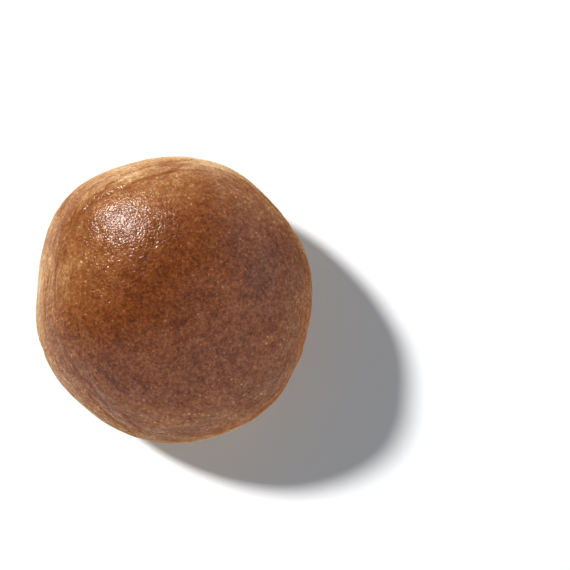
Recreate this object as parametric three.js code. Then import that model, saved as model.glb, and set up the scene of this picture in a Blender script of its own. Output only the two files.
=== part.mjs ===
// A soft glazed bread roll, baked in one piece: nearly round in plan, domed on top, rounded under
// at the sides, and flat only on the small spot that stood on the baking tray.
// Millimetres, +Z up. The origin is on the surface the roll stands on, under the middle of its box.

import * as THREE from "three";
import { mergeVertices } from "three/addons/utils/BufferGeometryUtils.js";

// Driving dimensions
const RADIUS = 45; // mean radius in plan at the waist, the widest level
const HEIGHT = 58; // from the tray to the top of the crown
const WAIST = 0.38 * HEIGHT; // level of the waist
const UNDERCUT = 1.28 * WAIST; // depth of the lower half before the tray flattens it
const CROWN_FULLNESS = 0.92; // 1 is an ellipse, lower is boxier
const SIDE_FULLNESS = 0.9;
const FOOT_ROUNDING = 2.6; // how far above the tray the crust starts to turn under
const CROWN_LEAN = { x: 1.6, y: 0.6 }; // how far the risen top leans from the middle of the foot

// Lobes that hand shaping left in the outline: how many go round, their swell as a share of the
// radius, and the azimuth in degrees of the first one.
const OUTLINE_LOBES = [
  { count: 2, swell: 0.021, azimuth: 110 },
  { count: 3, swell: 0.004, azimuth: 15 },
  { count: 4, swell: 0.006, azimuth: 40 },
  { count: 5, swell: 0.007, azimuth: 0 },
  { count: 6, swell: 0.011, azimuth: 19 },
];

// Broad swells of the crust: waves in space whose directions are spread evenly over a sphere. They
// are full on the crown and the underside, and fade out at the waist, where the lobes set the outline.
const SWELL_WAVES = 7;
const SWELL_DEPTH = 0.3; // height of each wave
const SWELL_FIRST = 3.1; // radians of phase from the middle of the roll to its crust, broadest wave
const SWELL_STEP = 0.8; // how much finer each next wave is
const GOLDEN_ANGLE = Math.PI * (3 - Math.sqrt(5));

const CELLS_PER_SIDE = 22; // cells along each edge of the cube that is blown up into the roll

// Share of the mean radius that the outline has at an azimuth.
function outlineShare(azimuth) {
  return OUTLINE_LOBES.reduce(
    (share, lobe) =>
      share + lobe.swell * Math.cos(lobe.count * (azimuth - THREE.MathUtils.degToRad(lobe.azimuth))),
    1,
  );
}

// Height that the broad swells add, along the direction seen from the roll's middle.
function swellAt(direction) {
  let height = 0;
  for (let wave = 0; wave < SWELL_WAVES; wave++) {
    const level = 1 - (2 * wave + 1) / SWELL_WAVES;
    const ring = Math.sqrt(1 - level * level);
    const turn = wave * GOLDEN_ANGLE;
    const along =
      direction.x * ring * Math.cos(turn) + direction.y * ring * Math.sin(turn) + direction.z * level;
    height += SWELL_DEPTH * Math.sin((SWELL_FIRST + SWELL_STEP * wave) * along + turn);
  }
  return height * direction.z ** 2;
}

// The tray's effect on a level: nothing goes below 0, and the crust turns under smoothly.
function settleOnTray(level) {
  if (level <= -FOOT_ROUNDING) return 0;
  if (level >= FOOT_ROUNDING) return level;
  return (level + FOOT_ROUNDING) ** 2 / (4 * FOOT_ROUNDING);
}

// The point of the crust that lies in a direction from the roll's middle.
function crustPoint(direction) {
  const azimuth = Math.atan2(direction.y, direction.x);
  const flank = Math.hypot(direction.x, direction.y);
  const up = direction.z;
  const swell = swellAt(direction);
  const reach = RADIUS * outlineShare(azimuth) * flank ** SIDE_FULLNESS + swell * flank;
  const rise = up >= 0 ? (HEIGHT - WAIST) * up ** CROWN_FULLNESS : -UNDERCUT * (-up) ** CROWN_FULLNESS;
  const level = settleOnTray(WAIST + rise + swell * up);
  const lean = Math.min(level / HEIGHT, 1) ** 2;
  return new THREE.Vector3(
    reach * Math.cos(azimuth) + CROWN_LEAN.x * lean,
    reach * Math.sin(azimuth) + CROWN_LEAN.y * lean,
    level,
  );
}

// A cube's skin, its cells spread evenly over the sphere, moved out to the crust.
function crustGeometry() {
  const cells = new THREE.BoxGeometry(2, 2, 2, CELLS_PER_SIDE, CELLS_PER_SIDE, CELLS_PER_SIDE);
  cells.deleteAttribute("normal");
  cells.deleteAttribute("uv");
  const skin = mergeVertices(cells);
  const places = skin.getAttribute("position");
  const direction = new THREE.Vector3();
  for (let i = 0; i < places.count; i++) {
    direction.fromBufferAttribute(places, i);
    direction.set(...direction.toArray().map((side) => Math.tan((side * Math.PI) / 4))).normalize();
    places.setXYZ(i, ...crustPoint(direction).toArray());
  }
  return skin;
}

// Puts the origin under the middle of the box.
function standOnOrigin(geometry) {
  geometry.computeBoundingBox();
  const { min, max } = geometry.boundingBox;
  geometry.translate(-(min.x + max.x) / 2, -(min.y + max.y) / 2, -min.z);
  geometry.computeVertexNormals();
  return geometry;
}

function breadRoll() {
  const crust = new THREE.MeshStandardMaterial({ color: 0x8a5230, roughness: 0.42, metalness: 0 });
  const roll = new THREE.Mesh(standOnOrigin(crustGeometry()), crust);
  roll.name = "bread_roll";
  return roll;
}

const part = new THREE.Group();
part.add(breadRoll());

export default part;
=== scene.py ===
"""A soft round bread roll with an egg-washed crust, seen from above on a pale studio floor.

Metres, +Z up. The roll stands on its flat foot, on the surface z = 0, where the frame's own roll
stands. It is one piece: a skin of six square patches blown up into a ball and shaped by formulas,
with the crust's creases, blisters and pores in the skin itself, and a pinched seam under the
foot. How brown and how glazed the crust is at each point, and the painted shade that darkens its
folds, wrinkles and seam, go into attributes, which the crust's finish reads.
"""

import math

import bpy
import numpy as np
from mathutils import Matrix, Vector


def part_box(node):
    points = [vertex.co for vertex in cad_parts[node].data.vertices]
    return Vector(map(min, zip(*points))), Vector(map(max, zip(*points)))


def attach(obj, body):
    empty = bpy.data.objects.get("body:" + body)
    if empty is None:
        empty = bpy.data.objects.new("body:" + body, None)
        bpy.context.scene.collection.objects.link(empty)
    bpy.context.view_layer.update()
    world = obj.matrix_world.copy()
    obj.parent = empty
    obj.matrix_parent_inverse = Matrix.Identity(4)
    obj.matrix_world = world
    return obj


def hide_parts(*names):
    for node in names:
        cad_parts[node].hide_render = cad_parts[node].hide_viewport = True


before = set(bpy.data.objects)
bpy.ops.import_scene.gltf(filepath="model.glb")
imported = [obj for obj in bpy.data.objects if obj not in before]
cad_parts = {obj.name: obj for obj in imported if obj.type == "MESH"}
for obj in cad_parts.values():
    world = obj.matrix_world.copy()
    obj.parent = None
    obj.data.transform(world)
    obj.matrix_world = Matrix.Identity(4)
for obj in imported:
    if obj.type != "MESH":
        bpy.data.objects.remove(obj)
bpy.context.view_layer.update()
ROLL_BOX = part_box("bread_roll")

MM = 0.001

# ---------------------------------------------------------------- driving sizes
RADIUS = 45 * MM  # mean radius in plan at the waist, the widest level
HEIGHT = 58 * MM  # from the tray to the top of the crown
WAIST = 0.38 * HEIGHT  # level of the waist
UNDERCUT = 1.28 * WAIST  # depth of the lower half before the tray flattens it
CROWN_FULLNESS = 0.92  # 1 is an ellipse, lower is boxier
SIDE_FULLNESS = 0.9
FOOT_ROUNDING = 2.6 * MM  # how far above the tray the crust starts to turn under
CROWN_LEAN = (1.6 * MM, 0.6 * MM)  # how far the risen top leans from the middle of the foot

# Lobes that hand shaping left in the outline: how many go round, their swell as a share of the
# radius, and the azimuth in degrees of the first one.
OUTLINE_LOBES = (
    (2, 0.021, 110),
    (3, 0.004, 15),
    (4, 0.006, 40),
    (5, 0.007, 0),
    (6, 0.011, 19),
)

# Broad swells of the crust: waves in space whose directions are spread evenly over a sphere.
SWELL_WAVES = 7
SWELL_DEPTH = 0.3 * MM
SWELL_FIRST = 3.1  # radians of phase from the middle to the crust, broadest wave
SWELL_STEP = 0.8  # how much finer each next wave is
GOLDEN_ANGLE = math.pi * (3 - math.sqrt(5))

PATCHES = 6
CELLS_PER_SIDE = 128  # cells along each edge of a patch
ATLAS_COLUMNS = 3
ATLAS_ROWS = 2
ATLAS_MARGIN = 0.02  # share of a patch's square left free along each edge of its map
MERGE_DIGITS = 7  # directions that agree to this many decimals are one point of the skin

# ---------------------------------------------------------------- how the crust browned
# Each wander here and below is a few layers of noise, given by their shares, sizes and seeds.

# The browning spreads down from a point a little off the top: the oven coloured one side more.
BROWNED_TOP = (0.0, -0.28, 1.0)
BROWNED_WIDE = 0.10  # how much further it spreads along x than along y
BROWNING_WANDER = ((0.05, 22 * MM, 1), (0.03, 9 * MM, 2))
# How brown the crust is at a direction's part along the browned top
BROWNING_STEPS = (
    (-0.40, 0.00),
    (-0.15, 0.05),
    (0.00, 0.15),
    (0.15, 0.27),
    (0.29, 0.40),
    (0.41, 0.55),
    (0.54, 0.67),
    (0.68, 0.79),
    (0.79, 0.90),
    (0.89, 0.97),
    (1.00, 1.03),
)
# Patches where the crust is browner or paler than that: azimuth, latitude, radius and change
TONE_PATCHES = (
    (33, 55, 15 * MM, 0.13),
    (29, 44, 9 * MM, 0.10),
    (336, 37, 13 * MM, -0.18),
    (205, 22, 12 * MM, 0.14),
    (160, 31, 8 * MM, 0.12),
    (282, 32, 13 * MM, -0.20),
    (72, 32, 12 * MM, -0.10),
    (155, 37, 13 * MM, -0.15),
    (115, 53, 10 * MM, -0.14),
    (192, 58, 8 * MM, -0.11),
    (354, 40, 7 * MM, -0.14),
    (202, 34, 6 * MM, 0.10),
    (10, 66, 7 * MM, 0.10),
    (146, 12, 13 * MM, 0.26),
    (104, 10, 16 * MM, 0.10),
    (90, 14, 8 * MM, -0.12),
    (66, 8, 18 * MM, 0.16),
    (184, 18, 15 * MM, -0.12),
)

# The foot, which the hot tray browned, by the level that the free crust would reach there
TRAY_TOUCH = (2.6 * MM, -2.8 * MM)  # where its browning begins and where it is full
TRAY_BROWN = 0.44
TRAY_RING = (0.16, -2.2 * MM, 1.3 * MM)  # how much darker the ring is, its level and its width
TRAY_EDGE_WANDER = ((0.5 * MM, 6 * MM, 51),)
TRAY_HEAT_WANDER = ((0.07, 6 * MM, 52), (0.05, 2.2 * MM, 53))

# The egg wash
BRUSHED_TO = (-0.28, -0.10, 1.0)  # the side down which it ran further
GLAZE_EDGE = (0.2, 0.8)  # a direction's parts along that side where it ends and where it is full
GLAZE_WANDER = ((0.07, 11 * MM, 3),)

# ---------------------------------------------------------------- how the crust creased and rose
# Folds left by shaping, each by the (azimuth, latitude) of a few points that it passes through, its
# half width and its depth in millimetres
FOLDS = (
    (((84, 25), (95, 34), (105, 38), (120, 38), (130, 36.5), (141, 34), (148, 30)), 0.60, 0.36),
    (((124, 30), (130, 32), (138, 33), (146, 33)), 0.60, 0.30),
    (((119, 41), (125, 39), (134, 37)), 0.55, 0.32),
    (((95, 36), (100, 38), (104, 41), (111, 40)), 0.55, 0.30),
    (((74, 10), (84, 20), (94, 27), (104, 30)), 0.60, 0.34),
    (((86, 19), (97, 26), (112, 28), (122, 27)), 0.55, 0.24),
    (((211, 28), (219, 25), (226, 25.5), (234, 23), (243, 17)), 0.65, 0.36),
    (((226, 20), (237, 14.5), (246, 11.5), (254, 7)), 0.60, 0.32),
    (((244, 24), (250, 20), (255, 14)), 0.55, 0.24),
    (((216, 30), (221, 29), (228, 26)), 0.50, 0.20),
    (((160, 28), (172, 25), (184, 25), (197, 28)), 0.60, 0.20),
    (((168, 19), (180, 16), (193, 16)), 0.60, 0.20),
    (((268, 21), (281, 17), (296, 16), (310, 19)), 0.60, 0.18),
    (((15, 17), (24, 14), (36, 14), (47, 18)), 0.60, 0.18),
)
# Shallow valleys where the dough was pinched together, given in the same way
VALLEYS = (
    (((212, 29), (222, 24.5), (231, 20.5), (240, 15), (249, 6)), 3.2, 0.40),
    (((203, 26), (204, 8), (202, -12)), 2.2, 0.30),
    (((76, 38), (82, 20), (80, -4)), 4.5, 0.40),
    (((322, 30), (326, 8), (322, -14)), 5.0, 0.35),
    (((28, 34), (33, 12), (38, -10)), 4.5, 0.35),
)
FOLD_STEPS = 60  # points along each fold
FOLD_REACH = 40 * MM  # past this distance from its middle a fold does nothing
FOLD_WANDER = 0.45 * MM
FOLD_WANDER_SIZE = 5 * MM
FOLD_WANDER_SEED = 40  # of the first axis; the next two follow it

# Fine wrinkles, whose values are drawn at random
WRINKLES = 130
WRINKLE_LATITUDES = (-30, 12, 42)  # lowest, commonest and highest, in degrees
WRINKLE_HALVES = (3, 10)  # least and greatest half length, in millimetres
WRINKLE_CUTS = (0.03, 0.09)  # least and greatest depth, in millimetres
WRINKLE_SLANT = 0.22  # spread of their slopes
WRINKLE_WIDTH = 0.55 * MM
WRINKLE_WANDER = ((0.5 * MM, 4 * MM, 31),)

# Single pits and bubbles, each by its azimuth and latitude, its radius and how far it stands up in
# millimetres
MARKS = (
    (58, 53, 1.3, -0.30),
    (196, 15.5, 0.9, -0.35),
    (340, 38, 2.4, 0.22),
    (336, 36, 1.2, -0.20),
    (67, 72, 1.3, 0.16),
    (79, 21, 1.3, 0.25),
    (292, 58, 1.2, -0.18),
    (24, 64, 1.6, 0.14),
)
# Spots at random places: how many, between which sines of latitude, and their least and greatest
# radius in millimetres
BLISTERS = (260, (-0.3, 1), (0.8, 1.7))
PORES = (220, (-1, 0.6), (0.6, 1.1))
TRAY_PITS = (160, (-1, -0.75), (0.5, 1.3))
DRAWS_SEED = 7

# Arms of the pinched seam under the foot, each by its azimuth, its length and its depth
SEAM_MIDDLE = (2.5 * MM, -1.5 * MM)
SEAM_ARMS = (
    (20, 15 * MM, 0.45 * MM),
    (148, 11 * MM, 0.40 * MM),
    (204, 14 * MM, 0.50 * MM),
    (286, 9 * MM, 0.35 * MM),
)
SEAM_WIDTH = 0.6 * MM
SEAM_START = 1 * MM  # an arm comes in from this far behind the seam's middle to this far ahead
SEAM_BELOW = 2 * MM  # how far below the tray the free crust has to reach for the full depth
SEAM_WANDER = ((1.8 * MM, 6 * MM, 54),)

# Streaks that run level round the sides
STREAK_STRETCH = 8  # how many times as long as wide a streak is
STREAK_LAYERS = ((1.0, 1.5 * MM, 21), (0.6, 0.9 * MM, 22))  # given as a wander is
STREAK_FADE = (0.95, 0.6)  # sines of latitude where the streaks end and where they are full

# How far each of these stands out of the crust or goes in
BLISTER_HEIGHT = 0.11 * MM
PORE_DEPTH = 0.14 * MM
STREAK_HEIGHT = 0.035 * MM
TRAY_PIT_DEPTH = 0.22 * MM
# Waves of the crust, from fine grain to broad kinks, given as a wander is
CRUST_WAVES = (
    (0.045 * MM, 2.1 * MM, 11),
    (0.036 * MM, 1.3 * MM, 12),
    (0.10 * MM, 8 * MM, 16),
    (0.20 * MM, 15 * MM, 17),
)
FULL_CREASE_SHADE = 0.2 * MM  # the depth from which the painted shade of folds, wrinkles and the seam is as dark as it gets

# ---------------------------------------------------------------- small tools for arrays
NOISE_SLOPES = 4096  # random slopes that the corners of a noise's grid share
NOISE_PRIMES = (73856093, 19349663, 83492791)  # they scatter the corners over those slopes
NOISE_START = 64  # number of the grid's corner at the origin


def smooth_step(low, high, values):
    """0 below low, 1 above high, and 3t² − 2t³ between them."""
    t = np.clip((values - low) / (high - low), 0, 1)
    return t * t * (3 - 2 * t)


def bell(values, width):
    """exp(−(value / width)²): 1 at nought, fading to almost nothing two widths away."""
    return np.exp(-((values / width) ** 2))


def noise(points, size, seed):
    """Smooth random heights, mostly from −1 to 1, that change over about size metres.

    Every corner of a grid of cubes of that size gets a random slope. A point's height is the
    slopes' planes at its cube's eight corners, blended by 6t⁵ − 15t⁴ + 10t³ along each side.
    """
    slopes = np.random.default_rng(seed).normal(size=(NOISE_SLOPES, 3))
    place = points / size + NOISE_START
    corner = np.floor(place).astype(np.int64)
    inside = place - corner
    blend = inside**3 * (inside * (inside * 6 - 15) + 10)
    total = np.zeros(len(points))
    for step in np.ndindex(2, 2, 2):
        mixed = (corner + step) * NOISE_PRIMES
        pick = np.bitwise_xor.reduce(mixed, axis=1) % NOISE_SLOPES
        plane = ((inside - step) * slopes[pick]).sum(1)
        share = np.where(np.array(step) == 1, blend, 1 - blend).prod(1)
        total += plane * share
    return total


def layered(points, layers):
    """The sum of share × noise over layers, each given by its share, its size and its seed."""
    return sum(share * noise(points, size, seed) for share, size, seed in layers)


def unit(vectors):
    """The vectors divided by their lengths."""
    return vectors / np.linalg.norm(vectors, axis=-1, keepdims=True)


def towards(azimuth, latitude):
    """The direction at an azimuth and a latitude in degrees, or one row for each of several:
    cos × cos, sin × cos and the sine of the latitude."""
    turn, rise = np.radians(azimuth), np.radians(latitude)
    return np.stack([np.cos(turn) * np.cos(rise), np.sin(turn) * np.cos(rise), np.sin(rise)], -1)


# ---------------------------------------------------------------- the skin of the roll
def patches():
    """Six square patches of a cube's skin, as directions from its middle, and their map.

    On a patch, two parameters run from 0 to 1. The direction is the patch's outward axis plus,
    along its two side axes, the tangent of the angle that the parameter sweeps from −45° to 45°,
    made one long. That spreads the cells evenly over a ball. The map puts the patches in a
    sheet of three by two squares. Returns directions and map places, both patch by patch.
    """
    share = np.linspace(0, 1, CELLS_PER_SIDE + 1)
    first, second = np.meshgrid(share, share, indexing="ij")
    slope_first, slope_second = (np.tan((s - 0.5) * math.pi / 2)[..., None] for s in (first, second))
    inner = ATLAS_MARGIN + (1 - 2 * ATLAS_MARGIN) * np.stack([first, second], -1)
    directions, places = [], []
    for patch in range(PATCHES):
        axis, side = patch % 3, 1 - 2 * (patch // 3)
        axes = np.roll(np.eye(3), -axis, axis=0)
        directions.append(unit(side * axes[0] + slope_first * side * axes[1] + slope_second * axes[2]))
        corner = np.array([patch % ATLAS_COLUMNS, patch // ATLAS_COLUMNS])
        places.append((inner + corner) / (ATLAS_COLUMNS, ATLAS_ROWS))
    return np.reshape(directions, (-1, 3)), np.reshape(places, (-1, 2))


def patch_quads():
    """The four corners of every cell of every patch, in turn as seen from outside."""
    row = CELLS_PER_SIDE + 1
    cell = np.arange(CELLS_PER_SIDE)
    start = (cell[:, None] * row + cell).ravel()
    quad = start[:, None] + np.array([0, row, row + 1, 1])
    return (quad + np.arange(PATCHES)[:, None, None] * row * row).reshape(-1, 4)


def closed_ball():
    """The directions of a closed ball's points, with the edges that patches share merged, the four
    points of each cell, and the map places of those four, cell by cell."""
    directions, places = patches()
    quads = patch_quads()
    rounded = np.round(directions, MERGE_DIGITS) + 0.0  # which turns −0 into 0
    _, kept, number = np.unique(rounded, axis=0, return_index=True, return_inverse=True)
    return directions[kept], number.reshape(-1)[quads], places[quads.ravel()]


def outline_share(azimuth):
    """Share of the mean radius at an azimuth: 1 plus each lobe's swell × cos(count × turn)."""
    waves = (
        swell * np.cos(count * (azimuth - math.radians(first))) for count, swell, first in OUTLINE_LOBES
    )
    return 1 + sum(waves)


def swell_at(directions):
    """Height of the broad swells: a sine wave along each of several directions, times z²."""
    height = np.zeros(len(directions))
    for wave in range(SWELL_WAVES):
        level = 1 - (2 * wave + 1) / SWELL_WAVES
        ring = math.sqrt(1 - level * level)
        turn = wave * GOLDEN_ANGLE
        along = directions @ np.array([ring * math.cos(turn), ring * math.sin(turn), level])
        height += SWELL_DEPTH * np.sin((SWELL_FIRST + SWELL_STEP * wave) * along + turn)
    return height * directions[:, 2] ** 2


def free_crust(directions):
    """The crust as it would be with no tray under it.

    Reach from the axis is radius × outline share × flank to the power of the side fullness. The
    level is the waist plus (height − waist) × up to the power of the crown fullness on the crown, or
    minus undercut × down to that power below it. Flank and up are the direction's level and upright
    parts, and the broad swells are added along the direction.
    """
    azimuth = np.arctan2(directions[:, 1], directions[:, 0])
    flank = np.hypot(directions[:, 0], directions[:, 1])
    up = directions[:, 2]
    swell = swell_at(directions)
    reach = RADIUS * outline_share(azimuth) * flank**SIDE_FULLNESS + swell * flank
    depth = np.where(up >= 0, HEIGHT - WAIST, UNDERCUT)
    level = WAIST + depth * np.sign(up) * np.abs(up) ** CROWN_FULLNESS + swell * up
    return np.stack([reach * np.cos(azimuth), reach * np.sin(azimuth), level], -1)


def settle(points):
    """The crust on its tray: levels follow (z + r)² / 4r between −r and r and are 0 below that,
    and the top leans by the square of its share of the height."""
    level = points[:, 2]
    turned = (level + FOOT_ROUNDING) ** 2 / (4 * FOOT_ROUNDING)
    level = np.where(level >= FOOT_ROUNDING, level, np.where(level <= -FOOT_ROUNDING, 0, turned))
    lean = np.minimum(level / HEIGHT, 1) ** 2
    settled = points[:, :2] + lean[:, None] * np.array(CROWN_LEAN)
    return np.column_stack([settled, level])


def outward(points, quads):
    """Each point's outward direction: the cross products of the diagonals of its quads, summed."""
    corners = points[quads]
    face = np.cross(corners[:, 2] - corners[:, 0], corners[:, 3] - corners[:, 1])
    sums = [np.bincount(quads.ravel(), np.repeat(face[:, axis], 4), len(points)) for axis in range(3)]
    return unit(np.stack(sums, -1))


def fitted(points):
    """The points stretched by the little that makes their box the frame's own."""
    low, high = points.min(0), points.max(0)
    box_low, box_high = np.array(ROLL_BOX[0]), np.array(ROLL_BOX[1])
    return box_low + (points - low) * ((box_high - box_low) / (high - low))


# ---------------------------------------------------------------- what shaping and baking left
def along_fold(turns):
    """Points on the free crust along a fold: a cubic through its azimuths and latitudes."""
    knots = np.array(turns, float)
    at = np.linspace(0, len(knots) - 1, FOLD_STEPS)
    whole = np.minimum(at.astype(int), len(knots) - 2)
    part = (at - whole)[:, None]
    before, start = knots[np.maximum(whole - 1, 0)], knots[whole]
    end, after = knots[whole + 1], knots[np.minimum(whole + 2, len(knots) - 1)]
    slope_start, slope_end = (end - before) / 2, (after - start) / 2
    change = end - start
    cubic = start + part * (
        slope_start + part * (3 * change - 2 * slope_start - slope_end)
        + part * part * (slope_start + slope_end - 2 * change)
    )
    return free_crust(towards(cubic[:, 0], cubic[:, 1]))


def fold_depths(points, folds):
    """How deep the folds cut in at each point: a bell across each fold, thinning out at its ends
    by the root of 4t(1 − t)."""
    shifts = [noise(points, FOLD_WANDER_SIZE, FOLD_WANDER_SEED + axis) for axis in range(3)]
    wander = FOLD_WANDER * np.stack(shifts, -1)
    depth = np.zeros(len(points))
    for turns, width, cut in folds:
        line = along_fold(turns)
        near = np.flatnonzero(np.linalg.norm(points - line.mean(0), axis=1) < FOLD_REACH)
        gap = np.linalg.norm(points[near, None] + wander[near, None] - line[None], axis=2)
        place = gap.argmin(1) / (len(line) - 1)
        taper = np.sqrt(np.clip(4 * place * (1 - place), 0, 1))
        depth[near] += cut * MM * bell(gap.min(1), width * MM) * taper
    return depth


def wrinkle_depths(points, azimuth, latitude, draws):
    """Short fine wrinkles that run nearly level round the sides, as the crust shrank on cooling.

    Each is a bell across its line, times 1 − t² along it, with a random place, length and slant.
    """
    depth = np.zeros(len(points))
    wander = layered(points, WRINKLE_WANDER)
    for _ in range(WRINKLES):
        centre = draws.uniform(0, 2 * math.pi)
        level = math.radians(draws.triangular(*WRINKLE_LATITUDES))
        half = draws.uniform(*WRINKLE_HALVES) * MM
        slant = draws.normal(0, WRINKLE_SLANT)
        cut = draws.uniform(*WRINKLE_CUTS) * MM
        turn = (azimuth - centre + math.pi) % (2 * math.pi) - math.pi
        along = turn * RADIUS * math.cos(level)
        across = (latitude - level) * RADIUS - slant * along + wander
        taper = np.clip(1 - (along / half) ** 2, 0, 1)
        depth = np.maximum(depth, cut * bell(across, WRINKLE_WIDTH) * taper)
    return depth


def streaks(azimuth, latitude):
    """Fine streaks that run level round the sides and fade out on the crown, from −1 to 1: a noise
    that changes more slowly around the side than up it, by the streaks' stretch."""
    around = np.stack([np.cos(azimuth), np.sin(azimuth)], -1) * RADIUS / STREAK_STRETCH
    place = np.column_stack([around, latitude * RADIUS])
    return layered(place, STREAK_LAYERS) * smooth_step(*STREAK_FADE, np.abs(np.sin(latitude)))


def spots(points, centres, sizes):
    """For spots with these middles and radii: 1 − (distance / radius)², squared, within each."""
    inside = np.zeros(len(points))
    for centre, size in zip(centres, sizes):
        near = np.flatnonzero(np.abs(points - centre).max(1) < size)
        share = 1 - ((points[near] - centre) ** 2).sum(1) / size**2
        inside[near] = np.maximum(inside[near], np.clip(share, 0, 1) ** 2)
    return inside


def random_spots(points, kind, draws):
    """Spots of one of the kinds above, at random places of the free crust."""
    count, (lowest, highest), (smallest, largest) = kind
    latitude = np.degrees(np.arcsin(draws.uniform(lowest, highest, count)))
    centres = free_crust(towards(draws.uniform(0, 360, count), latitude))
    return spots(points, centres, draws.uniform(smallest, largest, count) * MM)


def mark_heights(points):
    """How far the single pits and bubbles move each point: its height times the spot's own curve."""
    height = np.zeros(len(points))
    for azimuth, latitude, radius, rise in MARKS:
        centre = free_crust(towards([azimuth], [latitude]))
        height += rise * MM * spots(points, centre, [radius * MM])
    return height


def pressed_seam(points):
    """How deep the seam under the foot goes in, where the dough was pinched shut.

    Each arm of the seam starts at one point. It is a bell across its line, times 1 − t² along it.
    """
    wander = layered(points, SEAM_WANDER)
    depth = np.zeros(len(points))
    for turn, length, cut in SEAM_ARMS:
        heading = np.array([math.cos(math.radians(turn)), math.sin(math.radians(turn))])
        offset = points[:, :2] - np.array(SEAM_MIDDLE)
        along = offset @ heading
        across = offset @ np.array([-heading[1], heading[0]]) + wander
        taper = np.clip(1 - (along / length) ** 2, 0, 1) * smooth_step(-SEAM_START, SEAM_START, along)
        depth = np.maximum(depth, cut * taper * bell(across, SEAM_WIDTH))
    return depth * smooth_step(0, -SEAM_BELOW, points[:, 2])


def browning_at(directions, points):
    """How brown the crust is, from 0 for pale dough to 1 for the dark crown.

    It follows the direction's part along the browned top, plus a share of x² − y², through a few
    levels, with a slow wander and a few patches whose change fades as a bell.
    """
    along = directions @ np.array(BROWNED_TOP)
    along = along + BROWNED_WIDE * (directions[:, 0] ** 2 - directions[:, 1] ** 2)
    along = along + layered(points, BROWNING_WANDER)
    browning = np.interp(along, *zip(*BROWNING_STEPS))
    for azimuth, latitude, radius, change in TONE_PATCHES:
        gap = np.linalg.norm(points - free_crust(towards([azimuth], [latitude])), axis=1)
        browning += change * bell(gap, radius)
    return browning


def tray_browning(points):
    """How brown the hot tray made the foot: even where the free crust would reach below the tray,
    darker in a ring at the edge of the flat, and nothing a little above it."""
    level = points[:, 2] + layered(points, TRAY_EDGE_WANDER)
    darker, ring_level, ring_width = TRAY_RING
    ring = darker * bell(level - ring_level, ring_width)
    return smooth_step(*TRAY_TOUCH, level) * (TRAY_BROWN + ring + layered(points, TRAY_HEAT_WANDER))


def glazing_at(directions, points):
    """How thick the egg wash dried: full on the crown, none low on the sides, with an uneven edge
    that hangs lower on the side where the brush ended."""
    along = directions @ np.array(BRUSHED_TO) + layered(points, GLAZE_WANDER)
    return smooth_step(*GLAZE_EDGE, along)


# ---------------------------------------------------------------- the roll itself
def crust_marks(directions, free):
    """What shaping and baking left at each point, by name. Folds, valleys, wrinkles and the seam
    are depths in metres, streaks go from −1 to 1, and the spots are 1 in the middle."""
    azimuth = np.arctan2(directions[:, 1], directions[:, 0])
    latitude = np.arcsin(directions[:, 2])
    draws = np.random.default_rng(DRAWS_SEED)
    return {
        "folds": fold_depths(free, FOLDS),
        "valleys": fold_depths(free, VALLEYS),
        "streaks": streaks(azimuth, latitude),
        "wrinkles": wrinkle_depths(free, azimuth, latitude, draws),
        "blisters": random_spots(free, BLISTERS, draws),
        "pores": random_spots(free, PORES, draws),
        "pits": random_spots(free, TRAY_PITS, draws),
        "seam": pressed_seam(free),
    }


def crust_points(free, corners, marks):
    """The skin's points: those of the free crust moved along their outward directions by the
    relief, settled on the tray, pressed in under the foot, and fitted to the frame's box."""
    relief = (
        mark_heights(free)
        - marks["folds"]
        - marks["valleys"]
        - marks["wrinkles"]
        + BLISTER_HEIGHT * marks["blisters"]
        - PORE_DEPTH * marks["pores"]
        + STREAK_HEIGHT * marks["streaks"]
        + layered(free, CRUST_WAVES)
    )
    points = settle(free + outward(free, corners) * relief[:, None])
    points[:, 2] += marks["seam"] + TRAY_PIT_DEPTH * marks["pits"]
    return fitted(points)


def paint_crust(mesh, directions, free, marks):
    """Stores, as one number for each point, what the crust's finish reads under these names."""
    # Painted shade: the deeper the folds, wrinkles and seam cut, the darker the crust's colour there
    crease_shading = (marks["folds"] + marks["wrinkles"] + marks["seam"]) / FULL_CREASE_SHADE
    attributes = {
        "browning": np.maximum(browning_at(directions, free), tray_browning(free)),
        "glazing": glazing_at(directions, free),
        "crease_shade": np.clip(crease_shading, 0, 1),
        "streak": marks["streaks"],
        "blister": marks["blisters"],
        "pore": marks["pores"],
    }
    for name, values in attributes.items():
        layer = mesh.attributes.new(name, "FLOAT", "POINT")
        layer.data.foreach_set("value", values.astype(np.float32))


def build_crust():
    """The roll, as one closed skin with its map and its painted attributes."""
    directions, corners, places = closed_ball()
    free = free_crust(directions)
    marks = crust_marks(directions, free)
    mesh = bpy.data.meshes.new("baked_crust")
    mesh.from_pydata(crust_points(free, corners, marks), [], corners)
    mesh.uv_layers.new(name="OFBake").uv.foreach_set("vector", places.ravel())
    mesh.shade_smooth()
    paint_crust(mesh, directions, free, marks)
    roll = bpy.data.objects.new("baked_roll", mesh)
    bpy.context.scene.collection.objects.link(roll)
    return roll


# ---------------------------------------------------------------- small tools for finishes
SPECK_CORE = 0.35  # share of a speck's radius within which it is at its fullest


def add(tree, kind, inputs=None, **settings):
    """A node of that kind, with its settings made and its inputs filled or linked."""
    node = tree.nodes.new(kind)
    for name, value in settings.items():
        setattr(node, name, value)
    for name, value in (inputs or {}).items():
        if isinstance(value, bpy.types.NodeSocket):
            tree.links.new(value, node.inputs[name])
        else:
            node.inputs[name].default_value = value
    return node


def maths(tree, operation, *values):
    """The output of a Math node over one to three values or sockets."""
    node = add(tree, "ShaderNodeMath", dict(enumerate(values)), operation=operation)
    return node.outputs[0]


def weighted(tree, sockets, weights):
    """A socket for the sum of the sockets that the weights name, each times its weight."""
    total = 0.0
    for name, weight in weights.items():
        total = maths(tree, "MULTIPLY_ADD", sockets[name], weight, total)
    return total


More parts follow.
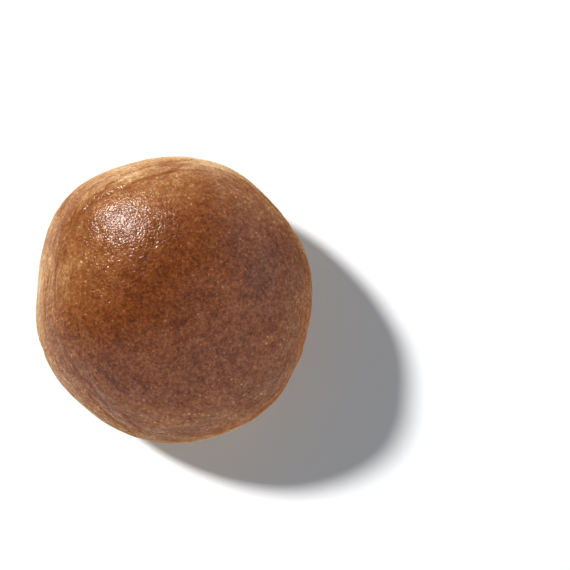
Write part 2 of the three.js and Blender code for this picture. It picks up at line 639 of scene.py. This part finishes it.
def between(tree, value, low, high, to_low=0.0, to_high=1.0):
    """A socket that goes smoothly from to_low to to_high as the value goes from low to high."""
    node = add(
        tree,
        "ShaderNodeMapRange",
        {0: value, 1: low, 2: high, 3: to_low, 4: to_high},
        interpolation_type="SMOOTHSTEP",
    )
    return node.outputs[0]


def uneven(tree, place, size, detail=2.0, roughness=0.5):
    """A noise centred on nought whose features are about size metres across."""
    node = add(
        tree,
        "ShaderNodeTexNoise",
        {"Vector": place, "Scale": 1 / size, "Detail": detail, "Roughness": roughness},
    )
    return maths(tree, "SUBTRACT", node.outputs["Fac"], 0.5)


def specks(tree, place, spacing, radius, share):
    """Round specks at the middles of random cells: 1 in the middle, 0 at the radius. Only that
    share of the cells has one."""
    cells = add(tree, "ShaderNodeTexVoronoi", {"Vector": place, "Scale": 1 / spacing})
    edge = radius / spacing
    speck = between(tree, cells.outputs["Distance"], edge, SPECK_CORE * edge)
    chance = add(tree, "ShaderNodeSeparateColor", {0: cells.outputs["Color"]})
    return maths(tree, "MULTIPLY", speck, maths(tree, "LESS_THAN", chance.outputs[0], share))


def domes(tree, place, spacing):
    """Small domes side by side: minus the square of the distance to the nearest of many scattered
    points, which lie about that spacing apart."""
    gap = add(tree, "ShaderNodeTexVoronoi", {"Vector": place, "Scale": 1 / spacing}).outputs["Distance"]
    return maths(tree, "MULTIPLY", maths(tree, "MULTIPLY", gap, gap), -1.0)


def colour_band(tree, value, stops):
    """Colours blended along a value, from (place, (red, green, blue)) stops."""
    node = add(tree, "ShaderNodeValToRGB", {"Fac": value})
    ramp = node.color_ramp
    while len(ramp.elements) < len(stops):
        ramp.elements.new(0.5)
    for element, (place, colour) in zip(ramp.elements, stops):
        element.position = place
        element.color = (*colour, 1)
    return node.outputs["Color"]


def new_material(name):
    """A material with nothing but a Principled shader, its node tree, and that shader."""
    material = bpy.data.materials.new(name)
    material.use_nodes = True
    tree = material.node_tree
    tree.nodes.clear()
    shader = add(tree, "ShaderNodeBsdfPrincipled")
    add(tree, "ShaderNodeOutputMaterial", {"Surface": shader.outputs["BSDF"]})
    return material, tree, shader


# ---------------------------------------------------------------- the crust's finish
# Colour of the crust against tone, from pale dough to dark glaze. A full browning is a tone of 0.8.
CRUST_COLOURS = (
    (0.00, (0.680, 0.500, 0.330)),
    (0.12, (0.560, 0.370, 0.190)),
    (0.26, (0.400, 0.200, 0.080)),
    (0.40, (0.270, 0.105, 0.032)),
    (0.58, (0.190, 0.058, 0.014)),
    (0.80, (0.124, 0.031, 0.007)),
    (1.00, (0.068, 0.016, 0.004)),
)

# The attributes painted on the skin; one of them is the painted shade that darkens the folds, wrinkles
# and seam
PAINTED = ("browning", "glazing", "crease_shade", "streak", "blister", "pore")
# Patterns in space: the size of their features, their detail and their roughness
UNEVEN_PATTERNS = {
    "blotch": (13 * MM, 3, 0.5),
    "mottle": (3.6 * MM, 4, 0.6),
    "speckle": (1.1 * MM, 3, 0.75),
    "ripples": (0.8 * MM, 3, 0.6),
}
# Specks: how far apart their places are, their radius, and the share of places that has one
SPECK_PATTERNS = {
    "bubbles": (1.5 * MM, 0.45 * MM, 0.5),
    "pricks": (1.9 * MM, 0.50 * MM, 0.5),
}
PEBBLE_SPACING = 0.66 * MM

# What each of these is mixed from, as weights
GRAIN = {"mottle": 0.46, "speckle": 1.10, "bubbles": -0.27, "pricks": 0.10}
TONE = {
    "browning": 0.80,
    "blotch": 0.40,
    "grain": 1.0,
    "streak": 1.0,
    "blister": -0.06,
    # painted shade in the folds, wrinkles and seam, deeper ones darker
    "crease_shade": 1.0,
    "pore": 0.12,
}
DULLNESS = {"speckle": 0.4, "mottle": 0.4}
GLAZE_PATCHES = {"speckle": -1.6, "mottle": -1.0}
SKIN_RELIEF = {"ripples": 0.9, "pebbles": 0.35, "bubbles": 0.20, "pricks": -0.25, "mottle": 0.3}
GLAZE_RELIEF = {"ripples": 0.15, "pebbles": 1.0, "mottle": 0.20}

# How strongly each of these shows in the tone: a low and a high browning, and its strengths there
STRENGTHS = {
    "grain": (0.2, 0.85, 0.40, 1.0),
    "streak": (0.05, 0.40, 0.03, 0.10),
    # the painted shade of the folds, wrinkles and seam, fainter on pale dough
    "crease_shade": (0.05, 0.45, 0.05, 0.17),
}
SKIN_ROUGHNESS = (0.1, 0.9, 0.80, 0.50)  # also a low and a high browning, and its values there
SKIN_BUMP = 0.60 * MM
GLAZE_BUMP = 0.105 * MM
GLAZE_COVER = 0.78  # how much of the full shine the glaze has on average
GLAZE_ROUGHNESS = 0.145
SKIN_SHINE = 0.03  # specular level of the crust under the glaze


def crust_sockets(tree):
    """What the finish is mixed from, by name: the painted attributes, and the patterns in space."""
    place = add(tree, "ShaderNodeTexCoord").outputs["Object"]
    found = {"pebbles": domes(tree, place, PEBBLE_SPACING)}
    for name in PAINTED:
        found[name] = add(tree, "ShaderNodeAttribute", attribute_name=name).outputs["Fac"]
    for name, shape in UNEVEN_PATTERNS.items():
        found[name] = uneven(tree, place, *shape)
    for name, shape in SPECK_PATTERNS.items():
        found[name] = specks(tree, place, *shape)
    return found


def crust_colour(tree, found):
    """Colour by tone, which is mostly the browning. Grain, streaks and the painted shade of the creases
    are added to it, and show less where the dough stayed pale."""
    added = found | {"grain": weighted(tree, found, GRAIN)}
    for name, strength in STRENGTHS.items():
        share = between(tree, found["browning"], *strength)
        added[name] = maths(tree, "MULTIPLY", added[name], share)
    return colour_band(tree, weighted(tree, added, TONE), CRUST_COLOURS)


def baked_crust():
    """Egg-washed crust: browned by the browning attribute, with blotches, fine mottling, pale tiny
    bubbles and dark pin pricks. The glaze is a thin coat of tiny domes, patchy with the grain, that
    fades out down the sides."""
    material, tree, shader = new_material("baked_crust")
    found = crust_sockets(tree)
    tree.links.new(crust_colour(tree, found), shader.inputs["Base Color"])

    roughness = between(tree, found["browning"], *SKIN_ROUGHNESS)
    rough = maths(tree, "ADD", roughness, weighted(tree, found, DULLNESS))
    tree.links.new(rough, shader.inputs["Roughness"])
    shader.inputs["Specular IOR Level"].default_value = SKIN_SHINE

    cover = maths(tree, "ADD", weighted(tree, found, GLAZE_PATCHES), GLAZE_COVER)
    tree.links.new(maths(tree, "MULTIPLY", found["glazing"], cover), shader.inputs["Coat Weight"])
    shader.inputs["Coat Roughness"].default_value = GLAZE_ROUGHNESS

    reliefs = (("Normal", SKIN_RELIEF, SKIN_BUMP), ("Coat Normal", GLAZE_RELIEF, GLAZE_BUMP))
    for socket, relief, depth in reliefs:
        height = weighted(tree, found, relief)
        bump = add(tree, "ShaderNodeBump", {"Height": height, "Strength": 1.0, "Distance": depth})
        tree.links.new(bump.outputs["Normal"], shader.inputs[socket])
    return material


# ---------------------------------------------------------------- floor, lights and camera
FLOOR_SIZE = 6.0
FLOOR_TONES = ((0, (0.92,) * 3), (1, (0.94,) * 3))
FLOOR_CLOUD = 0.4  # the floor's tone changes over about this far
FLOOR_ROUGHNESS = 0.9
FLOOR_SHINE = 0.1

LAMP_AIM = (0, 0, HEIGHT / 2)
KEY_FROM = (-0.70, 0.34, 0.61)
KEY_DISTANCE = 1.5
KEY_LAMP = {"energy": 4.4, "angle": math.radians(6)}
SHINE_FROM = (-0.55, 0.69, 0.48)
SHINE_DISTANCE = 0.6
SHINE_LAMP = {"energy": 3.4, "shape": "RECTANGLE", "size": 0.26, "size_y": 0.09}
FILL_FROM = (0.60, -0.68, 0.35)
FILL_ENERGY = 6.2
BACK_FROM = (0.10, 0.90, 0.35)
BACK_ENERGY = 4.4
REFLECTOR_DISTANCE = 0.9
REFLECTOR_LAMP = {"shape": "DISK", "size": 0.8}

DARK_SIDE = (-0.58, 0.64, 0.50)  # the side of the studio without white walls
DARK_EDGE = (0.08, 0.62)  # parts along the dark side where the walls begin to darken and end
WALL_COLOUR = (0.97, 0.99, 1.02)
WALL_STRENGTHS = (0.93, 0.03)  # white walls and the dark side
HAZE_COLOUR = (0.93, 0.98, 1.05)
HAZE_STRENGTH = 0.28
BACKDROP_COLOUR = (1, 1, 1)
BACKDROP_STRENGTH = 1.05

VIEW_FROM = (-0.17, -0.09, 0.98)  # from the roll towards the camera
VIEW_DISTANCE = 0.4325
VIEW_ASIDE = (35.3 * MM, 5.0 * MM)  # how far right of the roll, and beyond it, the camera aims
LENS = 85  # millimetres
SENSOR_WIDTH = 36  # millimetres


def floor_paint():
    """Pale matt floor with a barely uneven tone."""
    material, tree, shader = new_material("pale_floor")
    place = add(tree, "ShaderNodeTexCoord").outputs["Object"]
    cloud = maths(tree, "ADD", uneven(tree, place, FLOOR_CLOUD), 0.5)
    tree.links.new(colour_band(tree, cloud, FLOOR_TONES), shader.inputs["Base Color"])
    shader.inputs["Roughness"].default_value = FLOOR_ROUGHNESS
    shader.inputs["Specular IOR Level"].default_value = FLOOR_SHINE
    return material


def make_floor():
    """A pale floor that the glaze does not mirror: it mirrors the dark and white walls instead."""
    side = FLOOR_SIZE / 2
    corners = [(-side, -side, 0), (side, -side, 0), (side, side, 0), (-side, side, 0)]
    mesh = bpy.data.meshes.new("studio_floor")
    mesh.from_pydata(corners, [], [(0, 1, 2, 3)])
    mesh.materials.append(floor_paint())
    floor = bpy.data.objects.new("studio_floor", mesh)
    floor.visible_glossy = False
    bpy.context.scene.collection.objects.link(floor)


def place_lamp(name, kind, direction, distance, **settings):
    """A lamp that far from the roll along a direction, facing it."""
    lamp = bpy.data.lights.new(name, kind)
    for setting, value in settings.items():
        setattr(lamp, setting, value)
    holder = bpy.data.objects.new(name, lamp)
    back = Vector(direction).normalized()
    holder.location = Vector(LAMP_AIM) + back * distance
    holder.rotation_euler = back.to_track_quat("Z", "Y").to_euler()
    bpy.context.scene.collection.objects.link(holder)
    return holder


def place_reflector(name, direction, energy):
    """A wide round reflector that lifts one of the roll's far sides and that the glaze does not
    mirror."""
    reflector = place_lamp(name, "AREA", direction, REFLECTOR_DISTANCE, energy=energy, **REFLECTOR_LAMP)
    reflector.visible_glossy = False
    return reflector


def light_only(lamps, piece):
    """Keeps some lamps off everything but one piece, as flags on stands would."""
    lit = bpy.data.collections.new("lit_by_reflectors")
    lit.objects.link(piece)
    for lamp in lamps:
        lamp.light_linking.receiver_collection = lit


def light_roll(roll):
    """One hard key for the shading and the shadow, a softbox that only the glaze mirrors, and two
    reflectors. The key is the only lamp that lights the floor."""
    key = place_lamp("key_light", "SUN", KEY_FROM, KEY_DISTANCE, **KEY_LAMP)
    key.visible_glossy = False
    shine = place_lamp("shine_softbox", "AREA", SHINE_FROM, SHINE_DISTANCE, **SHINE_LAMP)
    shine.visible_diffuse = False
    fill = place_reflector("fill_reflector", FILL_FROM, FILL_ENERGY)
    back = place_reflector("back_reflector", BACK_FROM, BACK_ENERGY)
    light_only((fill, back, shine), roll)
    for lamp in (shine, fill, back):
        lamp.visible_camera = False


def glow(tree, colour, strength):
    """The output of a background of that colour and strength."""
    return add(tree, "ShaderNodeBackground", {"Color": (*colour, 1), "Strength": strength}).outputs[0]


def either(tree, choice, otherwise, chosen):
    """The output of a mix: the chosen shader where the choice is 1, and the other one elsewhere."""
    return add(tree, "ShaderNodeMixShader", {0: choice, 1: otherwise, 2: chosen}).outputs[0]


def surround_roll():
    """The studio around the roll. The glaze mirrors walls that are white but for one dark side,
    diffuse light comes from a weak even haze, and the camera sees a white backdrop."""
    world = bpy.data.worlds.new("studio")
    bpy.context.scene.world = world
    world.use_nodes = True
    tree = world.node_tree
    tree.nodes.clear()
    heading = add(tree, "ShaderNodeTexCoord").outputs["Generated"]
    sides = {0: heading, 1: Vector(DARK_SIDE).normalized()}
    along = add(tree, "ShaderNodeVectorMath", sides, operation="DOT_PRODUCT").outputs["Value"]
    walls = glow(tree, WALL_COLOUR, between(tree, along, *DARK_EDGE, *WALL_STRENGTHS))
    haze = glow(tree, HAZE_COLOUR, HAZE_STRENGTH)
    backdrop = glow(tree, BACKDROP_COLOUR, BACKDROP_STRENGTH)
    ray = add(tree, "ShaderNodeLightPath").outputs
    lit = either(tree, ray["Is Glossy Ray"], haze, walls)
    seen = either(tree, ray["Is Camera Ray"], lit, backdrop)
    add(tree, "ShaderNodeOutputWorld", {"Surface": seen})


def place_camera():
    """Looks down on the crown with +Y upwards, aimed beside the roll so that the roll stands left
    of the middle."""
    middle = Vector((0, 0, WAIST))
    spot = middle + Vector(VIEW_FROM).normalized() * VIEW_DISTANCE
    right = Vector((0, 1, 0)).cross(Vector(VIEW_FROM)).normalized()
    beyond = Vector(VIEW_FROM).normalized().cross(right)
    aim = middle + right * VIEW_ASIDE[0] + beyond * VIEW_ASIDE[1]
    back = (spot - aim).normalized()
    right = Vector((0, 1, 0)).cross(back).normalized()
    turned = Matrix((right, back.cross(right), back)).transposed().to_4x4()
    camera = bpy.data.cameras.new("camera")
    camera.lens = LENS
    camera.sensor_width = SENSOR_WIDTH
    holder = bpy.data.objects.new("camera", camera)
    holder.matrix_world = Matrix.Translation(spot) @ turned
    bpy.context.scene.collection.objects.link(holder)
    bpy.context.scene.camera = holder


# ---------------------------------------------------------------- the whole scene
def main():
    """Makes the scene, and hands the roll to the frame in place of its plain one."""
    bpy.context.scene.view_settings.view_transform = "Standard"
    place_camera()
    make_floor()
    roll = build_crust()
    light_roll(roll)
    surround_roll()
    roll.data.materials.append(baked_crust())
    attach(roll, "root")
    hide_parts("bread_roll")


main()
